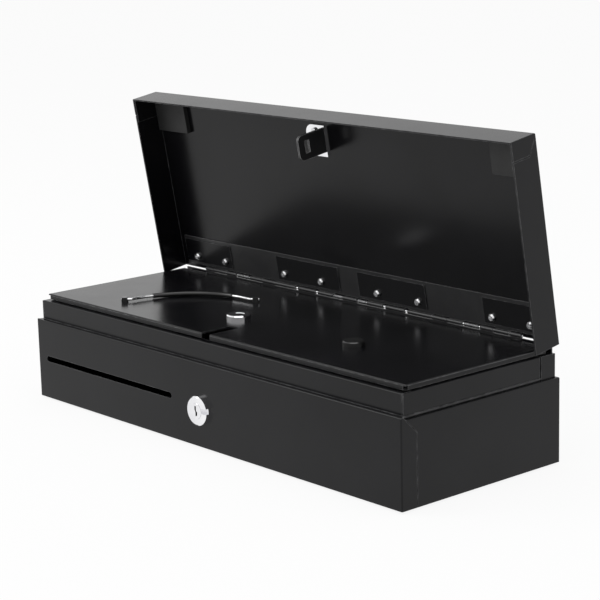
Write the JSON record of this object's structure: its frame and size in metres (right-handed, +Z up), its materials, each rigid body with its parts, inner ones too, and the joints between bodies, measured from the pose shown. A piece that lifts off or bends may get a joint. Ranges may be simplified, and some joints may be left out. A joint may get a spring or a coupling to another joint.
{
  "type": "flip-top cash drawer",
  "caption": "Low black sheet-steel cash drawer with a hinged lid, front key lock, note slot and a lift-out till under a locking cover with a carrying handle.",
  "frame": {"origin": "on the counter under the middle of the case, level with the bottom of the feet", "axes": "+X to the right along the hinge, +Y to the back towards the hinge, +Z up"},
  "size_m": [0.46, 0.1764, 0.2601],
  "materials": {
    "powder_coat": "satin black powder coat",
    "black_hinge": "black oxide on sheet steel",
    "bright_steel": "bright zinc on steel",
    "spring_steel": "oiled spring wire",
    "zinc": "zinc plated sheet",
    "chrome": "polished chrome",
    "copper": "enamelled copper wire",
    "rubber": "matt rubber",
    "switch_plastic": "moulded black",
    "tray_plastic": "fine grained moulding",
    "knob_plastic": "smooth moulding",
    "sleeve_plastic": "smooth tube"
  },
  "bodies": {
    "case": {"case_shell": "powder_coat", "front_panel": "powder_coat", "collar": "powder_coat", "hinge_support": "powder_coat", "till_ledge": "powder_coat", "rubber_feet": "rubber", "cable_grommet": "rubber", "hinge_base_leaf": "black_hinge", "hinge_pin": "bright_steel", "leaf_rivets": "bright_steel", "hinge_springs": "spring_steel", "front_lock_body": "chrome", "front_lock_nut": "bright_steel", "latch_bracket": "zinc", "bracket_screws": "bright_steel", "latch_pivot": "bright_steel", "release_coil": "zinc", "coil_winding": "copper", "lid_switch": "switch_plastic"},
    "lid": {"lid_shell": "powder_coat", "hinge_lid_leaf": "black_hinge", "clamp_plates": "powder_coat", "lid_screws": "bright_steel", "striker_plate": "chrome", "striker_tongue": "black_hinge", "striker_screws": "bright_steel", "lid_pads": "rubber"},
    "front_lock_core": {"front_lock_plug": "chrome", "front_lock_cam": "zinc"},
    "latch": {"latch_lever": "zinc"},
    "plunger": {"coil_plunger": "bright_steel"},
    "till": {"till_tray": "tray_plastic", "coin_tray": "tray_plastic"},
    "till_cover": {"insert_cover": "powder_coat", "cover_skirts": "powder_coat", "cover_lock_body": "chrome", "cover_knob": "knob_plastic", "handle_eyes": "bright_steel"},
    "cover_lock_core": {"cover_lock_plug": "chrome", "cover_lock_cam": "zinc"},
    "handle": {"handle_wire": "bright_steel", "handle_sleeve": "sleeve_plastic"}
  },
  "joints": [
    {"name": "lid_hinge", "type": "hinge", "parent": "case", "child": "lid", "pos_m": [0, 0.0809, 0.0967], "axis": [1, 0, 0], "range_deg": [0, 80.4], "stiffness_Nm_per_rad": 0.8, "springref_deg": -22.92, "deforming": ["hinge_springs"]},
    {"name": "front_lock_turn", "type": "hinge", "parent": "case", "child": "front_lock_core", "pos_m": [0, -0.075, 0.033], "axis": [0, -1, 0], "range_deg": [0, 90]},
    {"name": "latch_swing", "type": "hinge", "parent": "case", "child": "latch", "pos_m": [0.006, -0.0575, 0.045], "axis": [0, -1, 0], "range_deg": [0, 14]},
    {"name": "plunger_slide", "type": "slide", "parent": "case", "child": "plunger", "axis": [1, 0, 0], "range_m": [0, 0.00513]},
    {"name": "till_lift", "type": "slide", "parent": "case", "child": "till", "axis": [0, -0.1668, 0.986], "range_m": [0, 0.1]},
    {"name": "cover_lift", "type": "slide", "parent": "till", "child": "till_cover", "axis": [0, -0.1668, 0.986], "range_m": [0, 0.1]},
    {"name": "cover_lock_turn", "type": "hinge", "parent": "till_cover", "child": "cover_lock_core", "pos_m": [-0.025, -0.022, 0.09], "axis": [0, 0, 1], "range_deg": [0, 90]},
    {"name": "handle_swing", "type": "hinge", "parent": "till_cover", "child": "handle", "pos_m": [-0.10365, -0.011, 0.0962], "axis": [0.7395, 0.6731, 0], "range_deg": [0, 90]}
  ],
  "couplings": [
    {"joint": "latch_swing", "follows": "plunger_slide", "rad_per_m": 47.62}
  ]
}
